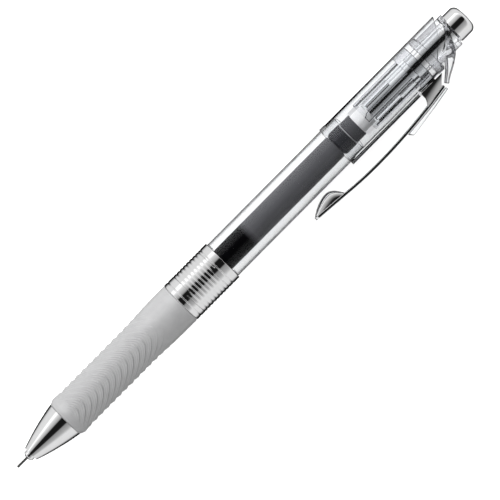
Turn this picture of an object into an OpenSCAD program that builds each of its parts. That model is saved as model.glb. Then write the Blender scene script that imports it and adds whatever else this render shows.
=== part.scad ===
// Retractable gel pen with a clear body, lying on its side with the point written out.
// +X runs from the writing point to the push button, +Z is up, and the clip reaches towards -Y.
// Every sub-part is drawn about the pen's own axis, u millimetres behind the ball, and laid down
// by lay(). Across the pen, y is negative on the clip's side.

/* [Writing point] */
// Diameter of the rolling ball
ball_d = 0.5; // [0.4:0.1:0.5]
// Outer diameter of the needle tube
needle_d = 0.6; // [0.6:0.05:0.7]
// Length of needle that shows in front of the nose
needle_out = 3.06; // [2.8:0.02:3.2]

/* [Nose] */
// Length of the metal nose behind the needle
nose_len = 12.34; // [12:0.02:13]
// Radius of the small front nib of the nose
nib_r = 1.25; // [1.15:0.05:1.3]
// Radius at the wide end of the nose
nose_r = 4.71; // [4.6:0.01:4.8]

/* [Grip and ring] */
// Length of the rubber grip
grip_len = 37.1; // [35:0.1:39]
// Outer radius of the rubber grip
grip_r = 5.2; // [5.1:0.05:5.3]
// Length of the ribbed ring
ring_len = 13.5; // [13:0.1:14]
// Outer radius of the ribbed ring, the widest round part
ring_r = 5.37; // [5.35:0.01:5.5]

/* [Barrel] */
// Length of the clear barrel that shows behind the ring
barrel_len = 36.3; // [35:0.1:38]
// Outer radius of the clear barrel
barrel_r = 4.96; // [4.9:0.01:5.0]
// Outer radius of the upper barrel that carries the clip
upper_r = 5.15; // [5.1:0.01:5.2]
// Distance from the axis to the flat top of the raised rail under the clip
rail_h = 5.73; // [5.6:0.01:5.8]

/* [Clip] */
// Width of the metal clip
clip_w = 4.4; // [4:0.1:4.6]
// Thickness of the clip's strip
clip_t = 0.75; // [0.5:0.05:0.8]
// Largest distance from the pen's axis to the clip's inner face
clip_h = 9.3; // [9.1:0.05:9.4]

/* [Refill] */
// Outer diameter of the ink tube
tube_d = 5.9; // [5.8:0.05:5.9]
// Wall of the ink tube
tube_wall = 0.6; // [0.5:0.05:0.7]

/* [Push mechanism] */
// How far the point and the push button travel between out and in
travel = 4.5; // [4.3:0.1:4.6]
// How far the button can be pressed past the locked position
press = 1; // [0.8:0.1:1]
// Radius of the push button's head
knob_r = 3.62; // [3.5:0.01:3.65]
// Number of guide ribs in the cam sleeve
guides = 4; // [4]

/* [Hidden] */
facets = 96;
rub = 0.06;      // running clearance, on the radius
seat = 0.02;     // gap between pieces that are pressed or glued together

// stations along the pen
nose_u = needle_out;
grip_u = nose_u + nose_len;
ring_u = grip_u + grip_len;
barrel_u = ring_u + ring_len;
upper_u = barrel_u + barrel_len;
sleeve_u = upper_u + 9.3;
flange_u = sleeve_u + 13.6;
flange_len = 3.8;
hood_u = upper_u + 36.3;         // far end of the upper barrel's slanted rear edge
knob_end = hood_u + 5.4;
pen_len = knob_end;

// radii inside
tube_r = tube_d / 2;
tube_in = tube_r - tube_wall;
bore_r = tube_r + 0.3;
core_r = 4.35;
shell_bore = upper_r - 0.43;     // bore of the upper barrel
thread_r = 3.8;
seat_u = nose_u + 5.94;          // shoulder in the nose that the return spring pushes on
holder_u = nose_u + 2.84;        // front end of the refill's point holder
spring_stop_u = seat_u + 13;     // collar on the point holder at the spring's rear end
tube_u = spring_stop_u + 4;
spring_r = 2.05;
wire_r = 0.2;
spring_turns = 9;
bead_u = upper_u + 0.1;
bead_len = 3.3;
tail_u = bead_u + 6.4;
insert_len = 5;
ink_end = tube_u + 48.7;
follower_len = 4;
skirt_r = 2.95;                  // the button's long skirt
stem_r = 2.47;                   // the plunger's stem inside it
rotor_stem_r = 1.24;
rotor_u = tail_u;                // front face of the rotor
fin_end = sleeve_u - 0.1;        // where the rotor's fins meet the sleeve at rest
fin_half = 5;                    // half the angle that one fin covers
fin_r = 3.4;                     // outer radius of the rotor's and the plunger's fins

// outline of the clip's inner face: a crowned middle and a straight front
clip_crown = upper_u + 3.6;
clip_front = upper_u - 5.4;
clip_tip = upper_u - 14.9;
clip_root = upper_u + 26.6;
clip_slope = 0.085;

// the pen lies so that its box is centred on the origin and stands on Z = 0
reach = 10.87;                   // from the axis to the clear arm's outermost edge
axis_y = (reach - ring_r) / 2;
axis_z = ring_r;

module lay() {
    translate([-pen_len / 2, axis_y, axis_z])
        children();
}

// a turned piece: the outline's points are [radius, distance behind the ball]
module turned(outline) {
    lay()
        rotate([0, 90, 0])
            rotate_extrude($fn = facets)
                polygon(outline);
}

module ring_of(r_in, r_out, u0, u1) {
    turned([[r_in, u0], [r_out, u0], [r_out, u1], [r_in, u1]]);
}

// a plate with its outline in the plane of the pen and the clip, w wide across the pen
module plate(outline, w) {
    lay()
        translate([0, 0, -w / 2])
            linear_extrude(w)
                polygon(outline);
}

// a shallow curve from p to q that stands proud of the straight line by sag, n steps
function bulge(p, q, sag, n) =
    let (d = q - p, side = [d[1], -d[0]] / norm(d))
    [for (i = [0:n]) let (t = i / n) p + d * t + side * 4 * sag * t * (1 - t)];

// the outline of one notch in a cylinder, from its front edge to its rear edge
function notch(u, r, half, deep) = [[r, u - half], [r - deep, u - half / 3],
                                    [r - deep, u + half / 3], [r, u + half]];

function clip_face(u) =
    u > clip_crown ? clip_h - 0.00345 * pow(u - clip_crown, 2)
    : u > clip_front ? clip_h - 0.0055 * pow(clip_crown - u, 2)
    : clip_h - 0.0055 * pow(clip_crown - clip_front, 2) - clip_slope * (clip_front - u);

// ---- nose and grip ----

module nose_cone() {
    nib_len = 1.24;
    shoulder_r = 1.86;               // where the cone starts behind the nib
    hole_r = needle_d / 2 + rub;
    hole_len = 1.64;
    holder_bore = 1.3;
    spring_bore = spring_r + wire_r + 0.35;
    thread_pitch = 0.9;
    thread_deep = 0.22;
    thread_end = grip_u + 5.6;
    skin = bulge([shoulder_r, nose_u + nib_len], [nose_r, grip_u], 0.25, 14);
    threads = [for (i = [0:4])
               each notch(grip_u + 1.4 + i * thread_pitch, thread_r, 0.35, thread_deep)];
    color("silver")
        turned(concat(
            [[hole_r, nose_u], [nib_r - 0.25, nose_u], [nib_r - 0.07, nose_u + 0.07],
             [nib_r, nose_u + 0.25], [nib_r, nose_u + nib_len]],
            skin,
            [[thread_r, grip_u]], threads,
            [[thread_r, thread_end - 0.2], [thread_r - 0.2, thread_end], [tube_r, thread_end],
             [tube_r, grip_u - 0.4], [spring_bore, grip_u - 0.4], [spring_bore, seat_u],
             [holder_bore, seat_u], [holder_bore, nose_u + hole_len],
             [hole_r, nose_u + hole_len]]));
}

module grip_sleeve() {
    front_r = 4.75;
    rear_r = grip_r + 0.14;
    rear_len = 7;
    color("darkgray")
        turned([[core_r + seat, grip_u + 0.05], [front_r, grip_u + 0.05],
                [grip_r, grip_u + 1.2], [grip_r, ring_u - rear_len], [rear_r, ring_u - 0.05],
                [core_r + seat, ring_u - 0.05]]);
}

module grip_core() {
    front = grip_u + 0.05;
    rear = barrel_u - 6;
    socket_end = grip_u + 6;         // end of the socket for the nose's thread
    color("whitesmoke")
        turned([[thread_r + rub, front], [core_r, front], [core_r, rear], [bore_r, rear],
                [bore_r, socket_end], [thread_r + rub, socket_end]]);
}

module ribbed_ring() {
    groove_pitch = 0.99;
    groove_deep = 0.2;
    groove_half = 0.3;
    rim = 0.12;                      // chamfer at both ends
    inside = core_r + seat;
    stations = concat([ring_u + 1.2], [for (i = [0:7]) ring_u + 2.7 + i * groove_pitch],
                      [ring_u + 11.5]);
    color("silver")
        turned(concat(
            [[inside, ring_u], [ring_r - rim, ring_u], [ring_r, ring_u + rim]],
            [for (u = stations) each notch(u, ring_r, groove_half, groove_deep)],
            [[ring_r, barrel_u - rim], [ring_r - rim, barrel_u], [inside, barrel_u]]));
}

// ---- barrels ----

module clear_barrel() {
    spigot_r = core_r - 0.05;        // front end, inside the ring
    spigot_len = 5.95;
    web = 1.2;                       // end wall between the front end and the thin barrel
    rear_r = shell_bore - rub;       // rear end, inside the upper barrel
    rear_len = 4;
    bore = rear_r - 0.45;
    color("aliceblue", 0.4)
        turned([[bore_r + 0.1, barrel_u - spigot_len], [spigot_r, barrel_u - spigot_len],
                [spigot_r, barrel_u + seat], [barrel_r, barrel_u + seat], [barrel_r, upper_u],
                [rear_r, upper_u], [rear_r, upper_u + rear_len], [bore, upper_u + rear_len],
                [bore, barrel_u + web], [bore_r + 0.1, barrel_u + web]]);
}

// everything behind the slanted rear end of the upper barrel
module behind_slant() {
    slant = 32.65;
    lay()
        translate([hood_u, 5, 0])
            rotate([0, 0, -slant])
                translate([0, -25, -25])
                    cube(50);
}

module upper_barrel() {
    collar_r = upper_r + 0.14;
    collar_len = 1.5;
    draft = 0.04;
    front = upper_u + seat;
    rail_len = 22;
    slot_u = upper_u + 21.5;
    slot_len = 6.7;
    slot_w = 2.4;
    color("aliceblue", 0.5)
        difference() {
            union() {
                turned([[0, front], [collar_r, front], [collar_r - draft, front + collar_len],
                        [upper_r, front + collar_len + 0.2], [upper_r, hood_u], [0, hood_u]]);
                lay()
                    translate([front, -rail_h, -clip_w / 2 - 0.1])
                        cube([rail_len, rail_h, clip_w + 0.2]);
            }
            ring_of(0, shell_bore, upper_u - 1, hood_u + 1);
            behind_slant();
            // slot in the wall for the clip's foot
            lay()
                translate([slot_u, -rail_h - 1, -slot_w / 2])
                    cube([slot_len, rail_h - 1, slot_w]);
        }
}

// ---- clip holder and clip ----

hood_front = [[hood_u + 0.5, 4.5], [hood_u + 0.4, 3.5], [hood_u - 0.7, 1.4], [hood_u - 2.3, -0.8],
              [hood_u - 3.5, -1.9], [hood_u - 5.2, -3.9], [hood_u - 6.5, -5.45],
              [hood_u - 8.9, -7.45]];
hood_back = [[hood_u - 8.25, -8.35], [hood_u - 6.9, -7.3], [hood_u - 4.5, -6.15],
             [hood_u - 2.1, -4.45], [hood_u - 0.9, -2.8], [hood_u + 0.4, -0.4],
             [hood_u + 1.1, 1.4], [hood_u + 1.5, 3.3], [hood_u + 1.5, 4.5]];

module clip_hood() {
    sleeve_r = 4.1;
    collar_u = hood_u - 8.3;         // collar that sits in the upper barrel's bore
    collar_len = 1.7;
    collar_r = shell_bore - seat;
    mouth_r = knob_r + 0.25;
    color("aliceblue", 0.5)
        difference() {
            union() {
                intersection() {
                    plate(concat(hood_front, hood_back), 12);
                    lay()
                        rotate([0, 90, 0])
                            linear_extrude(hood_u + 10)
                                union() {
                                    circle(r = 4.5, $fn = facets);
                                    polygon([[-4.2, -1.5], [-2.35, -7.4], [-2.35, -9],
                                             [2.35, -9], [2.35, -7.4], [4.2, -1.5]]);
                                }
                }
                turned([[skirt_r + 0.1, collar_u], [collar_r, collar_u],
                        [collar_r, collar_u + collar_len],
                        [sleeve_r, collar_u + collar_len + 0.2], [sleeve_r, hood_u + 0.4],
                        [skirt_r + 0.1, hood_u + 0.4]]);
            }
            ring_of(0, skirt_r + 0.15, hood_u - 20, hood_u + 10);
            ring_of(0, mouth_r, hood_u - 0.9, hood_u + 10);
        }
}

module clip_arm() {
    arm_w = 4.2;
    u0 = upper_u + 13.4;
    u1 = upper_u + 26.9;
    steps = 12;
    inner = [for (i = [0:steps]) let (u = u0 + (u1 - u0) * i / steps)
             [u, -clip_face(u) - clip_t - 0.1]];
    color("aliceblue", 0.5)
        intersection() {
            plate(concat(inner, [[u1 + 0.3, -8.85], [upper_u + 22, -9.75], [u0 + 0.95, -reach]]),
                  arm_w);
            // the arm narrows a little towards its free end
            lay()
                rotate([90, 0, 0])
                    linear_extrude(20)
                        polygon([[u0 - 1, 1.75], [u0 + 4, 1.95], [u1 + 2, 2.1], [u1 + 2, -2.1],
                                 [u0 + 4, -1.95], [u0 - 1, -1.75]]);
        }
}

module metal_clip() {
    steps = 36;
    inner = [for (i = [0:steps]) let (u = clip_tip + (clip_root - clip_tip) * i / steps)
             [u, -clip_face(u)]];
    outer = [for (i = [0:steps]) let (u = clip_root - (clip_root - clip_tip) * i / steps)
             [u, -clip_face(u) - clip_t]];
    bump = [[clip_tip + 0.15, -clip_face(clip_tip) - 0.2], [clip_tip + 0.15, -7.4],
            [clip_tip + 0.9, -6.95], [clip_tip + 2.7, -6.3], [clip_tip + 4.2, -5.97],
            [clip_tip + 5.1, -5.9], [clip_tip + 5.8, -6.05], [clip_tip + 6.5, -6.55],
            [clip_tip + 7.8, -7.6], [clip_tip + 8.7, -clip_face(clip_tip + 8.7) - 0.2]];
    side = [[upper_u + 22.1, -5.35], [upper_u + 22.1, -6.8], [upper_u + 21.8, -7.6],
            [upper_u + 21.2, -clip_face(upper_u + 21.2) - 0.2], [clip_root, -clip_face(clip_root) - 0.2],
            [clip_root + 0.3, -7.3], [clip_root + 2.1, -5.35]];
    foot_y = -shell_bore - 0.08;     // the foot lies in the barrel's slot, clear of the bore
    foot_t = 0.5;
    foot = [[clip_root - 0.2, -clip_face(clip_root) - 0.1], [clip_root, foot_y],
            [upper_u + 22.3, foot_y], [upper_u + 22.3, foot_y - foot_t],
            [clip_root - 0.9, foot_y - foot_t], [clip_root - 0.9, -clip_face(clip_root) - 0.1]];
    side_t = 0.5;
    half = clip_w / 2;
    color("silver")
        union() {
            intersection() {
                union() {
                    plate(concat(inner, outer), clip_w);
                    plate(bump, 2.6);
                }
                // seen from outside, the strip tapers to a rounded end
                lay()
                    rotate([90, 0, 0])
                        linear_extrude(20)
                            union() {
                                polygon([[clip_tip + 1.75, 1.75], [clip_root, half],
                                         [clip_root + 1, half], [clip_root + 1, -half],
                                         [clip_root, -half], [clip_tip + 1.75, -1.75]]);
                                translate([clip_tip + 1.75, 0])
                                    circle(r = 1.75, $fn = 48);
                            }
            }
            for (z = [-half + side_t / 2 + 0.02, half - side_t / 2 - 0.02])
                translate([0, 0, z])
                    plate(side, side_t);
            plate(foot, 1.8);
        }
}

// ---- push mechanism ----

// n equal fins round the axis: outline in [u, across] is cut between two radii
module fins(outline, r_in, r_out, n, first) {
    intersection() {
        ring_of(r_in, r_out, outline[0][0] - 3, outline[0][0] + 40);
        for (i = [0:n - 1])
            lay()
                rotate([first + i * 360 / n, 0, 0])
                    linear_extrude(r_out + 1)
                        polygon(outline);
    }
}

// width across the pen of an angle at the fins' radius
function across(angle) = 3.25 * tan(angle);

module cam_sleeve() {
    rib_in = tube_r + 0.1;
    groove_r = fin_r + 0.1;
    shell_r = 3.85;
    flange_r = shell_bore - seat;
    window_u = sleeve_u + 3;
    window_len = 9;
    window_w = 1.2;
    ramp = travel / 45;                  // the rotor turns 45 degrees over the travel
    low = fin_end + 0.25 - fin_half * ramp;
    high = low + 2 * fin_half * ramp;
    color("gainsboro", 0.7)
        union() {
            difference() {
                turned([[groove_r, sleeve_u + 0.05], [shell_r, sleeve_u + 0.05],
                        [shell_r, flange_u], [flange_r, flange_u],
                        [flange_r, flange_u + flange_len],
                        [skirt_r + rub, flange_u + flange_len], [skirt_r + rub, flange_u],
                        [groove_r, flange_u]]);
                // long windows between the ribs
                for (i = [0:guides - 1])
                    lay()
                        rotate([i * 360 / guides - 35, 0, 0])
                            translate([window_u, -window_w / 2, 0])
                                cube([window_len, window_w, upper_r]);
            }
            // ribs whose front ends are ramps for the rotor's fins
            fins([[low, across(-fin_half)], [low, across(-25)], [flange_u, across(-25)],
                  [flange_u, across(fin_half)], [high, across(fin_half)]],
                 rib_in, groove_r + 0.1, guides, 0);
        }
}

module push_button() {
    head_u = hood_u + press;
    front = flange_u + 1.4;
    inside_r = stem_r + 0.03;
    end_wall = 0.9;
    round_r = 1.5;
    crown = 0.08;
    flat_r = knob_r - round_r;
    corner = [for (i = [0:8]) let (a = i * 90 / 8)
              [flat_r + round_r * cos(a), knob_end - round_r + (round_r - crown) * sin(a)]];
    color("silver")
        turned(concat(
            [[inside_r, front], [skirt_r, front], [skirt_r, head_u - 0.7], [knob_r - 0.1, head_u],
             [knob_r, head_u + 0.1]],
            corner,
            [[flat_r, knob_end], [0, knob_end], [0, knob_end - end_wall],
             [inside_r, knob_end - end_wall]]));
}

module plunger() {
    front = fin_end + 1.3;
    collar_end = flange_u - travel - 0.15;
    collar_r = 2.55;
    key_half = 6;                    // half the angle that one guide key covers
    key_turn = -35;                  // the keys run between the sleeve's ribs
    color("silver")
        difference() {
            union() {
                turned([[0, front], [collar_r, front], [collar_r, collar_end],
                        [stem_r, collar_end], [stem_r, knob_end - 1], [0, knob_end - 1]]);
                fins([[front + 0.3, across(-key_half)], [collar_end, across(-key_half)],
                      [collar_end, across(key_half)], [front + 0.3, across(key_half)]],
                     stem_r - rub, fin_r, guides, key_turn);
            }
            // bore that guides the rotor's stem
            ring_of(0, rotor_stem_r + rub, fin_end, fin_end + 8);
        }
}

module rotor() {
    rise = fin_half * travel / 45;
    ring_r_out = 2.5;
    ring_end = fin_end + 0.9;
    stem_end = fin_end + 6.8;
    color("white", 0.8)
        union() {
            turned([[0, rotor_u + 0.05], [ring_r_out, rotor_u + 0.05], [ring_r_out, ring_end],
                    [rotor_stem_r, ring_end], [rotor_stem_r, stem_end - 0.3],
                    [rotor_stem_r - 0.24, stem_end], [0, stem_end]]);
            fins([[rotor_u + 0.2, across(-fin_half)], [fin_end - rise, across(-fin_half)],
                  [fin_end + rise, across(fin_half)], [rotor_u + 0.2, across(fin_half)]],
                 ring_r_out - 0.2, fin_r, guides, 0);
        }
}

// ---- refill ----

module ball() {
    color("dimgray")
        lay()
            translate([ball_d / 2, 0, 0])
                sphere(d = ball_d, $fn = 48);
}

module needle_tube() {
    mid = ball_d / 2;
    cup_r = mid + 0.02;
    lip_r = mid + 0.045;
    duct_r = needle_d / 4;
    // the seat round the ball: from the lip, past the ball's widest point, to the ink duct
    first = -30;
    last = 90 - asin(duct_r / cup_r);
    cup = [for (i = [0:8]) let (a = last + (first - last) * i / 8)
           [cup_r * cos(a), mid + cup_r * sin(a)]];
    color("silver")
        turned(concat(
            cup,
            [[lip_r, mid + cup_r * sin(first)], [needle_d / 2, mid + 0.5],
             [needle_d / 2, holder_u + 4], [duct_r, holder_u + 4]]));
}

module tip_holder() {
    hole_r = needle_d / 2 + 0.01;
    duct_r = 1;
    neck_r = 1.1;                    // front part, inside the spring
    stem_r = 1.5;
    stop_r = 2.5;                    // collar that the spring pushes on
    back_r = tube_r - 0.05;
    plug_end = tube_u + insert_len + 1;
    color("whitesmoke")
        turned([[hole_r, holder_u], [neck_r / 2, holder_u], [neck_r, holder_u + 1.4],
                [neck_r, seat_u + 6], [stem_r, seat_u + 8], [stem_r, spring_stop_u],
                [stop_r, spring_stop_u], [stop_r, spring_stop_u + 1], [back_r, tube_u - 0.6],
                [back_r, tube_u - seat], [tube_in - seat, tube_u - seat],
                [tube_in - seat, plug_end], [duct_r, plug_end], [duct_r, holder_u + 4.1],
                [hole_r, holder_u + 4.1]]);
}

module refill_tube() {
    color("dimgray", 0.6)
        ring_of(tube_in, tube_r, tube_u, bead_u - 0.05);
}

module ink() {
    color("black")
        ring_of(0, tube_in - seat, tube_u + insert_len + 1.05, ink_end);
}

module ink_follower() {
    color("gray", 0.6)
        ring_of(0, tube_in - seat, ink_end + seat, ink_end + follower_len);
}

module tail_plug() {
    bead_r = tube_r + 0.15;
    plug_r = tube_in - seat;
    vent_r = 0.8;
    round_r = 0.9;
    seam_r = tube_r - 0.2;           // narrow groove behind the bead
    seam_u = bead_u + bead_len;
    seam_w = 0.15;
    corner = [for (i = [0:6]) let (a = i * 15)
              [bead_r - round_r + round_r * sin(a), bead_u + round_r - round_r * cos(a)]];
    color("dimgray")
        turned(concat(
            [[vent_r, bead_u - insert_len], [plug_r, bead_u - insert_len], [plug_r, bead_u]],
            corner,
            [[bead_r, seam_u - 0.1], [bead_r - 0.1, seam_u], [seam_r, seam_u],
             [seam_r, seam_u + seam_w], [tube_r, seam_u + seam_w], [tube_r, tail_u],
             [vent_r, tail_u]]));
}

// a round wire swept along a helix, with close flat turns at both ends
module return_spring() {
    sides = 8;
    per_turn = 14;
    rings = spring_turns * per_turn;
    front = seat_u + wire_r + 0.02;
    free = spring_stop_u - seat_u - 2 * wire_r - 0.04;
    flat_turn = 2 * wire_r + 0.05;
    function advance(k) =
        let (t = k / per_turn)
        t < 1 ? t * flat_turn
        : t > spring_turns - 1 ? free - (spring_turns - t) * flat_turn
        : flat_turn + (t - 1) * (free - 2 * flat_turn) / (spring_turns - 2);
    points = [for (k = [0:rings]) for (j = [0:sides - 1])
              let (a = k * 360 / per_turn, b = j * 360 / sides, r = spring_r + wire_r * cos(b))
              [front + advance(k) + wire_r * sin(b), r * cos(a), r * sin(a)]];
    wall = [for (k = [0:rings - 1]) for (j = [0:sides - 1])
            [k * sides + j, k * sides + (j + 1) % sides,
             (k + 1) * sides + (j + 1) % sides, (k + 1) * sides + j]];
    start = [for (j = [sides - 1:-1:0]) j];
    end = [for (j = [0:sides - 1]) rings * sides + j];
    color("silver")
        lay()
            polyhedron(points, concat(wall, [start], [end]), convexity = 10);
}

nose_cone();
grip_sleeve();
grip_core();
ribbed_ring();
clear_barrel();
upper_barrel();
cam_sleeve();
clip_hood();
clip_arm();
metal_clip();
push_button();
plunger();
rotor();
ball();
needle_tube();
tip_holder();
refill_tube();
ink();
ink_follower();
tail_plug();
return_spring();
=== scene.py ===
"""Looks of a retractable gel pen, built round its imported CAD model.

Lengths in the functions below are millimetres: u is the distance behind the ball along the pen's
axis, and y and z are measured across the pen from that axis, with the clip at negative y.
"""
from math import cos, degrees, hypot, pi, radians, sin, sqrt

import bmesh
import bpy
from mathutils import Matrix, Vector


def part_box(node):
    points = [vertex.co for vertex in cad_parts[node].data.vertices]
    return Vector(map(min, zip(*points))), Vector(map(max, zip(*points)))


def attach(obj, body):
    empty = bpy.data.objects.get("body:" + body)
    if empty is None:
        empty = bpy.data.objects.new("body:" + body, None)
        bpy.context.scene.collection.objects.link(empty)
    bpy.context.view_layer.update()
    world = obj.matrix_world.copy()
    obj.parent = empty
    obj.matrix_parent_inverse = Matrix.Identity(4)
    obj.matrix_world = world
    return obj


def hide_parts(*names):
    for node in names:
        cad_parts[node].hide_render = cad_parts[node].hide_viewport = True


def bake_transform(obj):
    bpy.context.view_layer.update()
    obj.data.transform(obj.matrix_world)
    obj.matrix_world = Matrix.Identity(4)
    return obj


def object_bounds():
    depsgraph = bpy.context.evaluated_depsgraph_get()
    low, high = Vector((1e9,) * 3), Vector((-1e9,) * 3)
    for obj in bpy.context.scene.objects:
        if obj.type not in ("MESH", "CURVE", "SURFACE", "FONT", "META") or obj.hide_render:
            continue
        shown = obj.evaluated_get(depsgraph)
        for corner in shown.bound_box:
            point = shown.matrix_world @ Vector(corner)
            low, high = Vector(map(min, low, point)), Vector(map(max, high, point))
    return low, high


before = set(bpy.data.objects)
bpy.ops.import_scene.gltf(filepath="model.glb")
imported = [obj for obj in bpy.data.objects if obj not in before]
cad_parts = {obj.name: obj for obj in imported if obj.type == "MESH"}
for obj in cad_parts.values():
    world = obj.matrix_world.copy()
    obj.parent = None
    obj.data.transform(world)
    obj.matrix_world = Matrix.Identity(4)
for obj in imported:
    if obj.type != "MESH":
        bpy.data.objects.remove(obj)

cad_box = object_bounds()

MM = 0.001
ring_lo, ring_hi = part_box("ribbed_ring")
TIP_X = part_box("ball")[0].x
AXIS_Y = (ring_lo.y + ring_hi.y) / 2
AXIS_Z = (ring_lo.z + ring_hi.z) / 2


# ---- places, from the frame ----

def span(node):
    """Front and rear station of a CAD node, in mm behind the ball."""
    lo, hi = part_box(node)
    return (lo.x - TIP_X) / MM, (hi.x - TIP_X) / MM


def radius(node):
    """Half the height of a CAD node, in mm."""
    lo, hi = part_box(node)
    return (hi.z - lo.z) / 2 / MM


def place(u, y, z):
    """A point of the pen, in metres in the row frame."""
    return Vector((TIP_X + u * MM, AXIS_Y + y * MM, AXIS_Z + z * MM))


NOSE = span("nose_cone")
GRIP = span("grip_sleeve")
RING = span("ribbed_ring")
LOWER = span("clear_barrel")
UPPER = span("upper_barrel")
BUTTON = span("push_button")
CLIP = span("metal_clip")
INK_END = span("ink")[1]
# step round the refill's tail plug, where the plug's material has a light band that is a painted
# highlight
PLUG_STEP = span("tail_plug")[1] - 3.1
# rear end of the upper barrel, where the slanting holder starts
HOOD_U = BUTTON[1] - 5.4
SLEEVE = span("cam_sleeve")
FLANGE_U = SLEEVE[1] - 3.8


# ---- mesh helpers ----

def mesh_object(name, verts, faces, sharp=30):
    mesh = bpy.data.meshes.new(name)
    mesh.from_pydata(verts, [], faces)
    bm = bmesh.new()
    bm.from_mesh(mesh)
    bmesh.ops.remove_doubles(bm, verts=bm.verts, dist=1e-7)
    bmesh.ops.recalc_face_normals(bm, faces=bm.faces)
    bm.to_mesh(mesh)
    bm.free()
    mesh.shade_smooth()
    mesh.set_sharp_from_angle(angle=radians(sharp))
    obj = bpy.data.objects.new(name, mesh)
    bpy.context.scene.collection.objects.link(obj)
    return obj


def lathe(name, outline, steps=144, shift=None, sharp=30):
    """Turns a closed outline of (radius, u) about the axis. shift(radius, u, angle) says how far a
    point moves outwards; angle 0 is the top and it grows towards the clip."""
    verts = []
    faces = []
    n = len(outline)
    for k in range(steps):
        a = 2 * pi * k / steps
        for r, u in outline:
            grow = shift(r, u, a) if shift else 0
            verts.append(place(u, -(r + grow) * sin(a), (r + grow) * cos(a)))
    for k in range(steps):
        for i in range(n):
            j = (i + 1) % n
            if outline[i][0] < 1e-6 and outline[j][0] < 1e-6:
                continue
            a, b = k * n, ((k + 1) % steps) * n
            faces.append((a + i, b + i, b + j, a + j))
    return mesh_object(name, verts, faces, sharp)


def soften(obj, width, sharp):
    """Rounds off the edges that are sharper than an angle in degrees."""
    mod = obj.modifiers.new("edges", "BEVEL")
    mod.width = width * MM
    mod.segments = 3
    mod.limit_method = "ANGLE"
    mod.angle_limit = radians(sharp)
    mod.harden_normals = True


def extrude(name, outline, half, bevel):
    """A plate with its outline of (u, y) and half its thickness, with rounded edges."""
    n = len(outline)
    verts = [place(u, y, side * half) for side in (-1, 1) for u, y in outline]
    faces = [tuple(range(n - 1, -1, -1)), tuple(range(n, 2 * n))]
    faces += [(i, (i + 1) % n, n + (i + 1) % n, n + i) for i in range(n)]
    obj = mesh_object(name, verts, faces, 35)
    soften(obj, bevel, 40)
    return obj


def tube_faces(rows, n):
    """Faces of a closed skin through rows + 1 rings of n points, with a cap at both ends."""
    faces = []
    for i in range(rows):
        for j in range(n):
            m = (j + 1) % n
            faces.append((i * n + j, i * n + m, (i + 1) * n + m, (i + 1) * n + j))
    faces.append(tuple(range(n)))
    faces.append(tuple(rows * n + j for j in range(n - 1, -1, -1)))
    return faces


def grid_faces(rows, cols, first=0):
    """Faces of an open sheet of rows by cols cells, whose points start at number first."""
    faces = []
    for i in range(rows):
        for j in range(cols):
            a = first + i * (cols + 1) + j
            faces.append((a, a + 1, a + cols + 2, a + cols + 1))
    return faces


def ease(t):
    """A smooth step from 0 to 1, with t held between them."""
    t = min(1, max(0, t))
    return t * t * (3 - 2 * t)


def cut_away(obj, cutter):
    """Takes the cutter's shape out of obj for good and drops the cutter."""
    mod = obj.modifiers.new("cut", "BOOLEAN")
    mod.operation = "DIFFERENCE"
    mod.solver = "EXACT"
    mod.object = cutter
    bpy.context.view_layer.update()
    graph = bpy.context.evaluated_depsgraph_get()
    result = bpy.data.meshes.new_from_object(obj.evaluated_get(graph))
    obj.modifiers.clear()
    obj.data = result
    result.shade_smooth()
    result.set_sharp_from_angle(angle=radians(40))
    bpy.data.objects.remove(cutter)


def rounded(name, node, width, chamfer=0.0):
    """A CAD node's shape with its hard edges rounded off by width. A chamfer is cut along the two
    long edges on the clip's side."""
    sharp = 40                   # degrees
    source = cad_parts[node]
    mesh = source.data.copy()
    mesh.name = name
    mesh.transform(source.matrix_world)
    bm = bmesh.new()
    bm.from_mesh(mesh)
    bmesh.ops.remove_doubles(bm, verts=bm.verts, dist=2e-6)
    bmesh.ops.dissolve_limit(bm, angle_limit=radians(0.5), verts=bm.verts, edges=bm.edges)
    if chamfer:
        side = min(v.co.y for v in bm.verts) + 0.01 * MM
        long_edges = [e for e in bm.edges if e.calc_length() > 5 * MM
                      and all(v.co.y < side for v in e.verts)]
        bmesh.ops.bevel(bm, geom=long_edges, offset=chamfer * MM, offset_type="OFFSET",
                        segments=1, affect="EDGES", profile=0.5)
    bm.to_mesh(mesh)
    bm.free()
    mesh.shade_smooth()
    mesh.set_sharp_from_angle(angle=radians(sharp))
    obj = bpy.data.objects.new(name, mesh)
    bpy.context.scene.collection.objects.link(obj)
    soften(obj, width, sharp)
    return obj


def arc(p, q, sag, steps):
    """Points on a shallow curve from p to q that stands out by sag."""
    d = Vector(q) - Vector(p)
    side = Vector((d.y, -d.x)).normalized()
    out = []
    for i in range(steps + 1):
        t = i / steps
        out.append(tuple(Vector(p) + d * t + side * 4 * sag * t * (1 - t)))
    return out


# ---- materials ----

def material(name):
    m = bpy.data.materials.new(name)
    m.use_nodes = True
    nodes = m.node_tree.nodes
    return m, nodes, m.node_tree.links, nodes["Principled BSDF"]


def noise(nodes, links, scale, detail=3, rough=0.5, stretch=(1, 1, 1)):
    """Noise fixed to the object, about 0.3 to 0.7."""
    coord = nodes.new("ShaderNodeTexCoord")
    mapping = nodes.new("ShaderNodeMapping")
    mapping.inputs["Scale"].default_value = stretch
    tex = nodes.new("ShaderNodeTexNoise")
    tex.inputs["Scale"].default_value = scale
    tex.inputs["Detail"].default_value = detail
    tex.inputs["Roughness"].default_value = rough
    links.new(coord.outputs["Object"], mapping.inputs["Vector"])
    links.new(mapping.outputs["Vector"], tex.inputs["Vector"])
    return tex.outputs["Fac"]


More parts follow.
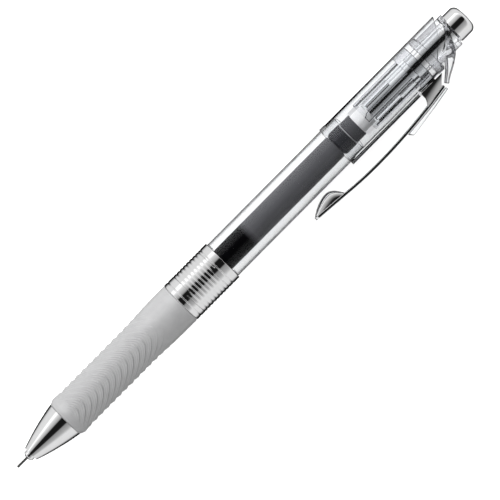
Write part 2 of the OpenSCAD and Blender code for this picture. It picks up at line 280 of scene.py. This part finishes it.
def remap(nodes, links, value, start, end, low=0, high=1, smooth=False):
    """A number that runs from low to high as value runs from start to end."""
    node = nodes.new("ShaderNodeMapRange")
    if smooth:
        node.interpolation_type = "SMOOTHSTEP"
    node.inputs["From Min"].default_value = start
    node.inputs["From Max"].default_value = end
    node.inputs["To Min"].default_value = low
    node.inputs["To Max"].default_value = high
    links.new(value, node.inputs["Value"])
    return node.outputs["Result"]


def spread(nodes, links, value, low, high):
    """A number that runs from low to high over the middle range of a noise."""
    return remap(nodes, links, value, 0.35, 0.65, low, high)


def blend(nodes, links, share, first, second):
    """A colour that runs from the first to the second as share runs from 0 to 1."""
    mix = nodes.new("ShaderNodeMix")
    mix.data_type = "RGBA"
    links.new(share, mix.inputs["Factor"])
    links.new(first, mix.inputs["A"])
    links.new(second, mix.inputs["B"])
    return mix.outputs["Result"]


def tint(nodes, links, value, dark, light):
    """A colour between dark and light, as value says."""
    ramp = nodes.new("ShaderNodeValToRGB")
    ramp.color_ramp.elements[0].position = 0.3
    ramp.color_ramp.elements[0].color = (*dark, 1)
    ramp.color_ramp.elements[1].position = 0.7
    ramp.color_ramp.elements[1].color = (*light, 1)
    links.new(value, ramp.inputs["Fac"])
    return ramp.outputs["Color"]


def bump(nodes, links, bsdf, value, strength, distance):
    node = nodes.new("ShaderNodeBump")
    node.inputs["Strength"].default_value = strength
    node.inputs["Distance"].default_value = distance
    links.new(value, node.inputs["Height"])
    links.new(node.outputs["Normal"], bsdf.inputs["Normal"])


def chrome(name, shade=0.86):
    """Bright plating: faint handling marks in the gloss, and dark at a grazing angle."""
    m, nodes, links, bsdf = material(name)
    bsdf.inputs["Metallic"].default_value = 1
    bsdf.inputs["Specular Tint"].default_value = (0.3, 0.3, 0.31, 1)
    wear = noise(nodes, links, 700, 4, 0.6)
    links.new(tint(nodes, links, wear, (shade * 0.97,) * 3, (shade, shade, shade * 1.01)),
              bsdf.inputs["Base Color"])
    links.new(spread(nodes, links, wear, 0.035, 0.075), bsdf.inputs["Roughness"])
    bump(nodes, links, bsdf, noise(nodes, links, 260, 2), 0.02, 0.0001)
    return m


def outlined(name, tone, mirror, ior=1.49, rough=(0.004, 0.02)):
    """Clear plastic whose mirrored light is dim, so that its walls and edges draw dark lines."""
    m, nodes, links, bsdf = material(name)
    nodes.remove(bsdf)
    flow = noise(nodes, links, 240, 3, 0.5, (0.25, 1, 1))
    bend = nodes.new("ShaderNodeBsdfRefraction")
    bend.inputs["IOR"].default_value = ior
    links.new(tint(nodes, links, flow, tuple(c * 0.985 for c in tone), tone), bend.inputs["Color"])
    links.new(spread(nodes, links, flow, rough[0], rough[1]), bend.inputs["Roughness"])
    shine = nodes.new("ShaderNodeBsdfGlossy")
    shine.inputs["Color"].default_value = (mirror, mirror, mirror * 1.02, 1)
    shine.inputs["Roughness"].default_value = 0.02
    edge = nodes.new("ShaderNodeFresnel")
    edge.inputs["IOR"].default_value = ior
    mix = nodes.new("ShaderNodeMixShader")
    links.new(edge.outputs["Fac"], mix.inputs["Fac"])
    links.new(bend.outputs["BSDF"], mix.inputs[1])
    links.new(shine.outputs["BSDF"], mix.inputs[2])
    links.new(mix.outputs["Shader"], nodes["Material Output"].inputs["Surface"])
    return m


def along(nodes, links, u_start, u_end):
    """A number that runs from 0 to 1 between two stations of the pen."""
    coord = nodes.new("ShaderNodeTexCoord")
    split = nodes.new("ShaderNodeSeparateXYZ")
    links.new(coord.outputs["Object"], split.inputs["Vector"])
    return remap(nodes, links, split.outputs["X"], place(u_start, 0, 0).x, place(u_end, 0, 0).x)


def stepped(name, front, bands):
    """Plastic whose shade changes along the pen, from the front colour through bands of
    (from u, to u, colour)."""
    m, nodes, links, bsdf = material(name)
    mottle = noise(nodes, links, 900, 4, 0.6)

    def mottled(shade):
        return tint(nodes, links, mottle, tuple(c * 0.95 for c in shade), shade)

    colour = mottled(front)
    for u_start, u_end, shade in bands:
        colour = blend(nodes, links, along(nodes, links, u_start, u_end), colour, mottled(shade))
    links.new(colour, bsdf.inputs["Base Color"])
    links.new(spread(nodes, links, mottle, 0.35, 0.45), bsdf.inputs["Roughness"])
    bsdf.inputs["Specular IOR Level"].default_value = 0.03
    return m


def moulded(name, dark, light, rough=(0.3, 0.42)):
    """Moulded plastic with a little mottle and a fine surface grain."""
    m, nodes, links, bsdf = material(name)
    mottle = noise(nodes, links, 900, 4, 0.6)
    links.new(tint(nodes, links, mottle, dark, light), bsdf.inputs["Base Color"])
    links.new(spread(nodes, links, mottle, *rough), bsdf.inputs["Roughness"])
    bump(nodes, links, bsdf, noise(nodes, links, 2700, 2), 0.05, 0.0001)
    return m


def rubber(name):
    """Soft grey rubber with a fine matt skin."""
    m, nodes, links, bsdf = material(name)
    mottle = noise(nodes, links, 500, 4, 0.6)
    links.new(tint(nodes, links, mottle, (0.25, 0.25, 0.253), (0.275, 0.275, 0.278)),
              bsdf.inputs["Base Color"])
    links.new(spread(nodes, links, mottle, 0.28, 0.36), bsdf.inputs["Roughness"])
    bsdf.inputs["Specular IOR Level"].default_value = 0.8
    bsdf.inputs["Sheen Weight"].default_value = 0.15
    bsdf.inputs["Sheen Roughness"].default_value = 0.5
    bump(nodes, links, bsdf, noise(nodes, links, 5200, 3, 0.6), 0.12, 0.00006)
    return m


def steel(name, shade, rough):
    """Drawn steel: fine lines along the pen."""
    m, nodes, links, bsdf = material(name)
    bsdf.inputs["Metallic"].default_value = 1
    lines = noise(nodes, links, 5000, 3, 0.6, (0.05, 1, 1))
    links.new(tint(nodes, links, lines, (shade * 0.85,) * 3, (shade,) * 3),
              bsdf.inputs["Base Color"])
    links.new(spread(nodes, links, lines, *rough), bsdf.inputs["Roughness"])
    return m


def finish_piece(obj, mat, slot_name, body, *nodes):
    """Gives a new piece its material and its body, and hides the CAD nodes it stands for. Its slot
    name is not used.
    """
    obj.data.materials.clear()
    obj.data.materials.append(mat)
    if body:
        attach(obj, body)
    if nodes:
        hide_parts(*nodes)
    return obj


def dress(node, mat):
    """Gives a CAD node its final material."""
    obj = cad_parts[node]
    obj.data.materials.clear()
    obj.data.materials.append(mat)


# ---- camera, light and floor ----

def make_camera():
    data = bpy.data.cameras.new("camera")
    data.sensor_width = 36
    data.lens = 300
    view_width = 113.2 * MM      # at the pen's axis
    cam = bpy.data.objects.new("camera", data)
    lo, hi = cad_box
    cam.location = ((lo.x + hi.x) / 2, (lo.y + hi.y) / 2,
                    AXIS_Z + view_width * data.lens / data.sensor_width)
    cam.rotation_euler = (0, 0, radians(-45.25))
    data.clip_start = 0.01
    data.clip_end = 20
    bpy.context.scene.collection.objects.link(cam)
    bpy.context.scene.camera = cam


def make_world():
    """A light tent: white on the side away from the clip, softer on the clip's side, with a dark
    slit overhead along the pen. Near the horizon it is pale, and well below it nearly black."""
    world = bpy.data.worlds.new("studio")
    bpy.context.scene.world = world
    world.use_nodes = True
    nodes, links = world.node_tree.nodes, world.node_tree.links
    background = nodes["Background"]
    coord = nodes.new("ShaderNodeTexCoord")
    split = nodes.new("ShaderNodeSeparateXYZ")
    links.new(coord.outputs["Generated"], split.inputs["Vector"])
    flip = nodes.new("ShaderNodeMath")
    flip.operation = "MULTIPLY"
    flip.inputs[1].default_value = -1
    links.new(split.outputs["Y"], flip.inputs[0])
    angle = nodes.new("ShaderNodeMath")
    angle.operation = "ARCTAN2"
    links.new(flip.outputs[0], angle.inputs[0])
    links.new(split.outputs["Z"], angle.inputs[1])
    turn = remap(nodes, links, angle.outputs[0], -pi, pi)
    ramp = nodes.new("ShaderNodeValToRGB")
    # (degrees round the pen from straight up, brightness); the clip's side is positive
    stops = [(-180, 0.5), (-115, 0.9), (-95, 1.7), (-64, 1.7), (-46, 0.8), (-24, 0.42),
             (-17, 0.01), (17, 0.01), (24, 0.3), (48, 0.45), (75, 0.95), (100, 1.0), (180, 0.5)]
    elements = ramp.color_ramp.elements
    elements[0].position = 0
    elements[1].position = 1
    for bearing, _ in stops[1:-1]:
        elements.new(bearing / 360 + 0.5)
    for element, (bearing, value) in zip(elements, stops):
        element.position = bearing / 360 + 0.5
        element.color = (value, value, value, 1)
    links.new(turn, ramp.inputs["Fac"])
    high = remap(nodes, links, split.outputs["Z"], 0.25, 0.5)
    low = remap(nodes, links, split.outputs["Z"], -0.82, -0.45, 0.02, 0.85, smooth=True)
    links.new(blend(nodes, links, high, low, ramp.outputs["Color"]), background.inputs["Color"])
    background.inputs["Strength"].default_value = 1.0


def make_lights():
    """Two large soft lamps overhead. The fill casts no shadow, so that it also reaches the pieces
    inside the clear barrels."""
    for name, energy, shadow, spot in (("key", 9, True, (0.05, 0.35, 1.45)),
                                       ("fill", 35, False, (-0.05, 0.95, 1.1))):
        data = bpy.data.lights.new(name, "AREA")
        data.shape = "DISK"
        data.size = 1.6
        data.energy = energy
        data.use_shadow = shadow
        lamp = bpy.data.objects.new(name, data)
        lamp.location = spot
        lamp.rotation_euler = (-lamp.location).to_track_quat("-Z", "Y").to_euler()
        lamp.visible_glossy = False
        lamp.visible_transmission = False
        bpy.context.scene.collection.objects.link(lamp)


def make_floor():
    half = 3.0
    verts = [(-half, -half, 0), (half, -half, 0), (half, half, 0), (-half, half, 0)]
    floor = mesh_object("floor", verts, [(0, 1, 2, 3)])
    m, nodes, links, bsdf = material("floor_paper")
    grain = noise(nodes, links, 60, 4, 0.6)
    links.new(tint(nodes, links, grain, (0.90, 0.90, 0.90), (0.92, 0.92, 0.92)),
              bsdf.inputs["Base Color"])
    bsdf.inputs["Roughness"].default_value = 0.9
    bsdf.inputs["Specular IOR Level"].default_value = 0.1
    floor.data.materials.append(m)
    floor.visible_glossy = False


# ---- chromed pieces ----

def make_nose():
    """The nose: a nib, a step and a full curve back to the grip, with its thread behind."""
    nose_u, end_u = NOSE
    grip_u = GRIP[0] - 0.05
    big_r = radius("nose_cone")
    hole_r = radius("needle_tube") + 0.06
    thread_r = 3.8
    spring_r = 2.6
    core_r = 2.95
    threads = []
    for i in range(5):
        u = grip_u + 1.4 + i * 0.9
        threads += [(thread_r, u - 0.35), (thread_r - 0.22, u - 0.1), (thread_r - 0.22, u + 0.1),
                    (thread_r, u + 0.35)]
    nib = [(hole_r, nose_u), (0.6, nose_u), (1.19, nose_u + 0.36), (1.24, nose_u + 0.43),
           (1.25, nose_u + 0.5), (1.25, nose_u + 1.16), (1.3, nose_u + 1.24)]
    skin = arc((1.86, nose_u + 1.27), (big_r, grip_u - 0.06), 0.25, 40)
    outline = nib + skin + [(big_r - 0.06, grip_u), (thread_r, grip_u)] + threads
    outline += [(thread_r, end_u - 0.2), (thread_r - 0.2, end_u), (core_r, end_u),
                (core_r, grip_u - 0.4), (spring_r, grip_u - 0.4), (spring_r, nose_u + 5.94),
                (1.3, nose_u + 5.94), (1.3, nose_u + 1.64), (hole_r, nose_u + 1.64)]
    return lathe("nose_shell", outline, 192, sharp=38)


def make_ring():
    """The ring, with a fine groove that winds round it and a plain land at both ends."""
    u0, u1 = RING
    big_r = radius("ribbed_ring")
    bore = 4.37
    lead = 0.99
    first, last = u0 + 2.2, u0 + 10.2
    plain = (u0 + 1.2, u0 + 11.5)

    def groove(r, u, a):
        if r < big_r - 0.2:
            return 0
        turn = a / (2 * pi)
        deep = 0.0
        if first < u - turn * lead < last:
            phase = ((u - first) / lead - turn) % 1
            off = min(phase, 1 - phase) * lead
            deep = max(deep, 1 - off / 0.24)
        for station in plain:
            deep = max(deep, 1 - abs(u - station) / 0.22)
        return -0.13 * ease(deep)

    rows = 330
    skin = [(big_r, u0 + 0.13 + (u1 - u0 - 0.26) * i / rows) for i in range(rows + 1)]
    outline = [(bore, u0), (big_r - 0.12, u0), (big_r - 0.04, u0 + 0.04)] + skin
    outline += [(big_r - 0.04, u1 - 0.04), (big_r - 0.12, u1), (bore, u1)]
    return lathe("groove_ring", outline, 144, groove, 60)


def make_button():
    """The button: a hollow chromed cap with a crowned end, and its long skirt."""
    u0, u1 = BUTTON
    head_r = radius("push_button")
    skirt_r = 2.95
    bore = 2.5
    head_u = u1 - 4.4
    round_r = 1.5
    corner = []
    for i in range(17):
        a = i / 16 * pi / 2
        corner.append((head_r - round_r + round_r * cos(a), u1 - 0.12 - round_r * (1 - sin(a))))
    crown = [(1.6, u1 - 0.05), (1.0, u1 - 0.015), (0.5, u1 - 0.003), (0, u1)]
    outline = [(bore, u0), (skirt_r - 0.1, u0), (skirt_r, u0 + 0.1), (skirt_r, head_u - 0.7),
               (skirt_r + 0.08, head_u - 0.62), (head_r - 0.16, head_u - 0.08),
               (head_r - 0.03, head_u), (head_r, head_u + 0.14)]
    outline += corner + crown + [(0, u1 - 0.9), (bore, u1 - 0.9)]
    return lathe("button_cap", outline, 144, sharp=38)


# radius of the strip's rounded tip, seen from outside
TIP_R = 1.75


def clip_face(u):
    """Height of the clip's inner face above the axis."""
    crown = UPPER[0] + 3.6
    front = UPPER[0] - 5.4
    if u > crown:
        return 9.3 - 0.00345 * (u - crown) ** 2
    if u > front:
        return 9.3 - 0.0055 * (crown - u) ** 2
    return 9.3 - 0.0055 * (crown - front) ** 2 - 0.085 * (front - u)


def clip_half(u, tip, root):
    """Half the width of the clip's strip, seen from outside."""
    if u < tip + TIP_R:
        d = tip + TIP_R - u
        return max(0.02, sqrt(max(0, TIP_R ** 2 - d ** 2)))
    return TIP_R + (2.2 - TIP_R) * (u - tip) / (root - tip)


def make_clip():
    """The strip: a rounded oblong section that follows the clip's curve."""
    tip, _ = CLIP
    root = UPPER[0] + 26.9
    thick = 0.75
    edge = 0.16
    stations = [tip + TIP_R * (1 - cos(i / 14 * pi / 2)) for i in range(14)]
    stations += [tip + TIP_R + (root - tip - TIP_R) * i / 70 for i in range(71)]
    verts = []
    around = []
    for cx, cy, start in ((1, 1, 0), (-1, 1, 90), (-1, -1, 180), (1, -1, 270)):
        for k in range(5):
            around.append((cx, cy, radians(start + k * 22.5)))
    for u in stations:
        half = clip_half(u, tip, root)
        e = min(edge, half * 0.45)
        low = clip_face(u)
        for cx, cy, a in around:
            z = cx * (half - e) + e * cos(a)
            y = low + thick / 2 + cy * (thick / 2 - e) + e * sin(a)
            verts.append(place(u, -y, z))
    return mesh_object("clip_strip", verts, tube_faces(len(stations) - 1, len(around)), 45)


def make_clip_bump():
    """The pressed bump at the clip's tip that grips a pocket: a long smooth dome."""
    tip, _ = CLIP
    u0, u1 = tip + 0.2, tip + 8.8
    deepest = 5.92
    verts = []
    rows, cols = 44, 24
    for i in range(rows + 1):
        u = u0 + (u1 - u0) * i / rows
        base = clip_face(u) + 0.05
        t = (u - u0) / (u1 - u0)
        # rises slowly from the tip, peaks behind the middle and drops steeply
        turn = t / 0.64 if t < 0.64 else 1 + (t - 0.64) / 0.36
        rise = max(0.0, sin(pi / 2 * turn)) ** 0.75
        depth = (base - deepest) * max(rise, 0.1)
        half = 1.45 * (0.45 + 0.55 * sqrt(max(0, sin(pi * t))))
        for j in range(cols + 1):
            s = -1 + 2 * j / cols
            round_off = sqrt(max(0.0, 1 - abs(s) ** 2.1))
            verts.append(place(u, -(base - depth * round_off), s * half))
    faces = grid_faces(rows, cols)
    # closed below by a fan to a line inside the strip
    bottom = len(verts)
    for i in range(rows + 1):
        u = u0 + (u1 - u0) * i / rows
        verts.append(place(u, -(clip_face(u) + 0.25), 0))
    for i in range(rows):
        left, right = i * (cols + 1), i * (cols + 1) + cols
        faces.append((left, left + cols + 1, bottom + i + 1, bottom + i))
        faces.append((right + cols + 1, right, bottom + i, bottom + i + 1))
    for i in (0, rows):
        for j in range(cols):
            a = i * (cols + 1) + j
            faces.append((a, a + 1, bottom + i))
    return mesh_object("clip_bump", verts, faces, 50)


def make_clip_sides():
    """The two flanges folded down at the clip's root. Each bows outwards from the barrel until it
    is flush with the strip's edge."""
    ref = UPPER[0]
    top = 5.35
    rows, cols = 30, 24
    size = (rows + 1) * (cols + 1)
    made = []
    for name, side in (("clip_flange_upper", 1), ("clip_flange_lower", -1)):
        verts = []
        for face in (0, 1):
            for i in range(rows + 1):
                t = i / rows
                u_front = ref + 22.1 - 1.2 * max(0, (t - 0.35) / 0.65) ** 2.2
                u_rear = ref + 28.7 - 2.1 * min(1, t / 0.8)
                # clear of the strip's flat face, then flush with it
                out = 1.66 + 0.27 * t + 0.24 * t * t - face * 0.45
                for j in range(cols + 1):
                    u = u_front + (u_rear - u_front) * j / cols
                    y = top + (clip_face(u) + 0.3 - top) * t
                    verts.append(place(u, -y, side * out))
        faces = grid_faces(rows, cols) + grid_faces(rows, cols, size)
        rim = [i * (cols + 1) for i in range(rows + 1)]
        rim += [rows * (cols + 1) + j for j in range(1, cols + 1)]
        rim += [i * (cols + 1) + cols for i in range(rows - 1, -1, -1)]
        rim += [j for j in range(cols - 1, 0, -1)]
        for a, b in zip(rim, rim[1:] + rim[:1]):
            faces.append((a, b, b + size, a + size))
        made.append(mesh_object(name, verts, faces, 40))
    return made


def make_clip_foot():
    """The tab that goes down through the barrel's slot."""
    front = UPPER[0] + 22.3
    root = UPPER[0] + 26.6
    inner = -4.8
    thick = 0.5
    strip = -clip_face(root) - 0.1
    outline = [(root - 0.2, strip), (root, inner), (front, inner), (front, inner - thick),
               (root - 0.9, inner - thick), (root - 0.9, strip)]
    return extrude("clip_foot", outline, 0.9, 0.08)


# ---- grip ----

def grip_relief(u, a, u0):
    """Depth of the moulded pattern: overlapping scales whose edges bend round the pen."""
    pitch = 1.93
    bend = 6.3 * sin(a) ** 2
    phase = ((u + bend) / pitch) % 1
    saw = phase if phase < 0.86 else (1 - phase) / 0.14 * 0.86
    fine = 0.5 + 0.5 * cos(2 * pi * (u + bend * 1.02) / (pitch / 3))
    behind = u - u0
    fade = min(1, max(0, (behind - 1.6) / 1.6)) * ease((31.5 - behind) / 9)
    return -fade * (0.36 * (1 - saw) + 0.08 * fine)


def make_grip():
    u0, u1 = GRIP
    front_r = 5.2
    rear_r = radius("grip_sleeve")
    bore = 4.38
    rows = 360
    skin = []
    for i in range(rows + 1):
        u = u0 + 1.1 + (u1 - u0 - 1.35) * i / rows
        skin.append((front_r + (rear_r - front_r) * ease((u - u0 - 24) / 11), u))
    outline = [(bore, u0), (4.66, u0), (4.76, u0 + 0.08), (5.0, u0 + 0.6)] + skin
    outline += [(rear_r - 0.06, u1 - 0.08), (rear_r - 0.2, u1), (bore, u1)]

    def shift(r, u, a):
        return grip_relief(u, a, u0) if r > 5.1 else 0

    return lathe("grip_rubber", outline, 264, shift, 75)


# ---- clear pieces ----

def make_lower_barrel():
    u0, u1 = LOWER
    ring_u = RING[1]
    upper_u = UPPER[0]
    r = radius("clear_barrel")
    rear_r = 4.66
    bore = 4.5
    spigot_r, spigot_bore = 4.3, 3.35
    outline = [(spigot_bore, u0), (spigot_r, u0), (spigot_r, ring_u + 0.02),
               (r - 0.05, ring_u + 0.02),
               (r, ring_u + 0.07), (r, upper_u - 0.1), (r - 0.08, upper_u - 0.02),
               (rear_r, upper_u - 0.02), (rear_r, u1 - 0.1), (rear_r - 0.1, u1), (bore, u1),
               (bore, ring_u + 0.35), (spigot_bore, ring_u + 0.35)]
    return lathe("barrel_clear", outline, 160, sharp=35)


def make_cam_shell():
    """The clear cam sleeve with its four ribs, whose front ends are ramps."""
    u0 = SLEEVE[0]
    shell_r = 3.85
    groove_r = 3.5
    rib_r = 3.05
    rows = 110
    inner = [(groove_r, FLANGE_U - 0.02 - (FLANGE_U - u0 - 0.04) * i / rows)
             for i in range(rows + 1)]
    outline = [(groove_r, u0), (shell_r - 0.06, u0), (shell_r, u0 + 0.06),
               (shell_r, FLANGE_U - 0.01)] + inner

    def ribs(r, u, a):
        if r > groove_r + 0.01:
            return 0
        # degrees from the middle of the rotor's fin; the rib runs from -5 to 25
        off = (degrees(a) + 45) % 90 - 45
        # the ramp falls 0.1 mm for each degree that the rotor turns
        ramp = u0 + 0.1 * max(0, 5 - off)
        inside = min(1, max(0, (15 - abs(off - 10)) / 1.2)) * min(1, max(0, (u - ramp) / 0.15))
        return -(groove_r - rib_r) * inside

    return lathe("cam_shell", outline, 240, ribs, 35)


def make_cam_flange():
    """The clear collar at the rear of the cam sleeve, which fills the barrel's bore."""
    u0, u1 = FLANGE_U, SLEEVE[1]
    r = radius("cam_sleeve")
    bore = 3.02
    outline = [(bore, u0), (r - 0.1, u0), (r, u0 + 0.1), (r, u1 - 0.1), (r - 0.1, u1), (bore, u1)]
    return lathe("cam_flange", outline, 144)


def follow(points, t):
    """The point at share t of the length of a polyline."""
    lengths = [hypot(b[0] - a[0], b[1] - a[1]) for a, b in zip(points, points[1:])]
    want = t * sum(lengths)
    for a, b, length in zip(points, points[1:], lengths):
        if want <= length + 1e-9:
            f = want / length
            return a[0] + (b[0] - a[0]) * f, a[1] + (b[1] - a[1]) * f
        want -= length
    return points[-1]


def make_hood():
    """The slanting band that holds the clip: a rounded bar bent round the button's sleeve. Its
    front and back edges are curves of (u behind HOOD_U, y), from the far side to the clip's."""
    front = [(0.45, 4.35), (0.2, 2.8), (-0.7, 1.4), (-2.3, -0.8), (-3.5, -1.9), (-5.2, -3.9),
             (-6.5, -5.45), (-8.9, -7.45)]
    back = [(1.5, 4.35), (1.5, 3.3), (1.1, 1.4), (0.4, -0.4), (-0.9, -2.8), (-2.1, -4.45),
            (-4.5, -6.15), (-6.9, -7.3), (-8.25, -8.35)]
    rows, around = 60, 32
    square = 0.65
    sleeve_r = 4.13
    verts = []
    for i in range(rows + 1):
        t = i / rows
        # ease both curves with the mean of their neighbours
        samples = [min(1, max(0, t + d)) for d in (-0.05, -0.025, 0, 0.025, 0.05)]
        f = [sum(follow(front, k)[n] for k in samples) / 5 for n in (0, 1)]
        b = [sum(follow(back, k)[n] for k in samples) / 5 for n in (0, 1)]
        mid = ((f[0] + b[0]) / 2, (f[1] + b[1]) / 2)
        half = ((b[0] - f[0]) / 2, (b[1] - f[1]) / 2)
        y = mid[1]
        wide = sqrt(max(0.4, 4.5 ** 2 - y * y)) if y > -1.5 else 4.24 + (y + 1.5) * 0.31
        wide = max(wide, 2.35)
        for j in range(around):
            a = 2 * pi * j / around
            c, d = cos(a), sin(a)
            c = abs(c) ** square * (1 if c > 0 else -1)
            d = abs(d) ** square * (1 if d > 0 else -1)
            verts.append(place(HOOD_U + mid[0] + half[0] * c, mid[1] + half[1] * c, wide * d))
    band = mesh_object("holder_band", verts, tube_faces(rows, around), 50)
    cut_away(band, lathe("hole", [(0, HOOD_U - 14), (sleeve_r, HOOD_U - 14),
                                  (sleeve_r, HOOD_U + 4), (0, HOOD_U + 4)]))
    return band


def make_hood_sleeve():
    """The holder's sleeve round the button, with the collar that sits in the barrel."""
    u0 = HOOD_U - 8.3
    u1 = HOOD_U + 0.4
    rim_u = HOOD_U - 0.9
    bore, rim_bore, sleeve_r, collar_r = 3.05, 3.9, 4.1, 4.69
    outline = [(bore, u0), (collar_r - 0.09, u0), (collar_r, u0 + 0.1), (collar_r, u0 + 1.6),
               (collar_r - 0.09, u0 + 1.75), (sleeve_r, u0 + 1.9), (sleeve_r, u1 - 0.15),
               (sleeve_r - 0.12, u1), (rim_bore, u1), (rim_bore, rim_u), (bore, rim_u)]
    return lathe("holder_sleeve", outline, 144)


# ---- spring ----

def make_spring():
    """A closed-end coil between the nose's shoulder and the refill's collar."""
    lo, hi = span("return_spring")
    wire = 0.2
    mean = 2.05
    turns = 9
    per_turn = 28
    sides = 10
    length = hi - lo - 2 * wire
    flat = 2 * wire + 0.05
    verts = []
    rings = turns * per_turn
    for k in range(rings + 1):
        t = k / per_turn
        if t < 1:
            s = t * flat
        elif t > turns - 1:
            s = length - (turns - t) * flat
        else:
            s = flat + (t - 1) * (length - 2 * flat) / (turns - 2)
        a = 2 * pi * t
        for j in range(sides):
            b = 2 * pi * j / sides
            r = mean + wire * cos(b)
            verts.append(place(lo + wire + s + wire * sin(b), r * cos(a), r * sin(a)))
    return mesh_object("spring_coil", verts, tube_faces(rings, sides), 80)


# ---- assembly ----

make_camera()
make_world()
make_lights()
make_floor()

nose_chrome = chrome("nose_chrome")
ring_chrome = chrome("ring_chrome", 0.84)
button_chrome = chrome("button_chrome")
clip_chrome = chrome("clip_chrome", 0.88)
barrel_plastic = outlined("barrel_plastic", (0.994, 0.997, 1), mirror=0.3)
upper_plastic = outlined("upper_plastic", (0.99, 0.993, 0.997), mirror=0.2)
holder_clear = outlined("holder_clear", (0.99, 0.993, 0.997), ior=1.47, mirror=0.55)
arm_clear = outlined("arm_clear", (0.98, 0.985, 0.99), ior=1.47, mirror=0.1)
grip_material = rubber("grip_material")
cam_clear = outlined("cam_clear", (0.98, 0.985, 0.99), mirror=0.75, rough=(0.01, 0.03))

finish_piece(make_nose(), nose_chrome, "chrome_nose", "nose", "nose_cone")
finish_piece(make_ring(), ring_chrome, "chrome_ring", "root", "ribbed_ring")
finish_piece(make_button(), button_chrome, "chrome_button", "button", "push_button")
finish_piece(make_grip(), grip_material, "rubber_grip", "root", "grip_sleeve")
finish_piece(make_lower_barrel(), barrel_plastic, "clear_plastic", "root", "clear_barrel")

clip_pieces = [make_clip(), make_clip_bump(), *make_clip_sides(), make_clip_foot()]
for piece in clip_pieces:
    finish_piece(piece, clip_chrome, "chrome_clip", "clip", "metal_clip")

spring = finish_piece(make_spring(), steel("spring_wire", 0.62, (0.16, 0.3)), "spring_steel",
                      None, "return_spring")
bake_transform(spring)

finish_piece(rounded("upper_shell", "upper_barrel", 0.07, chamfer=0.75), upper_plastic,
             "clear_plastic", "root", "upper_barrel")
for piece in (make_hood(), make_hood_sleeve()):
    finish_piece(piece, holder_clear, "clear_holder", "root", "clip_hood")
finish_piece(make_cam_shell(), cam_clear, "cam_plastic", "root", "cam_sleeve")
finish_piece(make_cam_flange(), cam_clear, "cam_plastic", "root", "cam_sleeve")
finish_piece(rounded("holder_arm", "clip_arm", 0.22), arm_clear, "clear_holder", "clip",
             "clip_arm")
dress("grip_core", moulded("core_white", (0.72, 0.72, 0.73), (0.80, 0.80, 0.81)))
dress("plunger", chrome("plunger_chrome", 0.95))
dress("rotor", moulded("rotor_white", (0.62, 0.62, 0.63), (0.66, 0.66, 0.67), (0.3, 0.4)))
dress("ball", steel("ball_carbide", 0.4, (0.05, 0.12)))
dress("needle_tube", steel("needle_drawn", 0.2, (0.1, 0.2)))
dress("tip_holder", moulded("holder_grey", (0.5, 0.5, 0.51), (0.6, 0.6, 0.61)))
dress("refill_tube", stepped("tube_smoke", (0.0015, 0.0015, 0.002), [
    (INK_END - 1.2, INK_END + 0.6, (0.085, 0.085, 0.092))]))
dress("ink", moulded("ink_gel", (0.002, 0.002, 0.003), (0.004, 0.004, 0.005), (0.05, 0.1)))
dress("ink_follower", moulded("follower_grease", (0.2, 0.2, 0.21), (0.3, 0.3, 0.31)))
# the tail plug is dark; the thin light band at its step is a painted highlight on the step's edge
dress("tail_plug", stepped("plug_dark", (0.035, 0.035, 0.040), [
    (PLUG_STEP - 0.05, PLUG_STEP + 0.02, (0.3, 0.3, 0.31)), (PLUG_STEP + 0.2, PLUG_STEP + 0.3, (0.07, 0.07, 0.076))]))

bpy.context.scene.view_settings.view_transform = "Standard"
